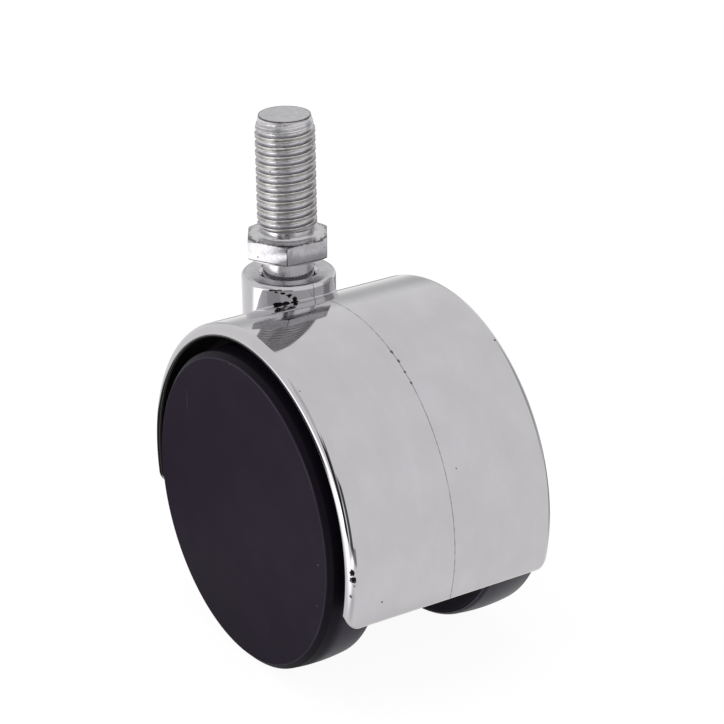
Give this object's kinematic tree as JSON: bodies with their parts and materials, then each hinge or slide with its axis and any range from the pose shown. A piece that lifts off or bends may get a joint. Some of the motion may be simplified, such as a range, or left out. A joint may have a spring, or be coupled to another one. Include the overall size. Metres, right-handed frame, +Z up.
{
  "type": "stem castor",
  "caption": "Furniture castor with two wheels under a curved hood, an offset stem socket and a threaded stem with a hexagon that swivels in it.",
  "frame": {"origin": "on the stem's axis, in the plane of the hexagon's top face, where the furniture sits", "axes": "+Z up along the threaded stem, +Y along the axle, +X from the stem towards the axle and the front of the hood"},
  "size_m": [0.0586, 0.0404, 0.0813],
  "materials": {
    "zinc_plate": "dull bright zinc plating, slightly rough",
    "spring_steel": "dark oiled spring steel",
    "chrome_plate": "mirror chrome plating",
    "bright_steel": "bright drawn steel",
    "black_nylon": "fine-grained matt moulded plastic"
  },
  "bodies": {
    "stem_unit": {"stem": "zinc_plate", "stem_snap_ring": "spring_steel"},
    "hood_unit": {"hood_casting": "chrome_plate", "axle_pin": "bright_steel"},
    "near_wheel": {"wheel_near": "black_nylon"},
    "far_wheel": {"wheel_far": "black_nylon"}
  },
  "joints": [
    {"name": "swivel", "type": "hinge", "parent": "stem_unit", "child": "hood_unit", "pos_m": [0, 0, -0.00635], "axis": [0, 0, 1], "continuous": true},
    {"name": "near_wheel_spin", "type": "hinge", "parent": "hood_unit", "child": "near_wheel", "pos_m": [0.0162, 0, -0.0366], "axis": [0, 1, 0], "continuous": true},
    {"name": "far_wheel_spin", "type": "hinge", "parent": "hood_unit", "child": "far_wheel", "pos_m": [0.0162, 0, -0.0366], "axis": [0, 1, 0], "continuous": true}
  ]
}
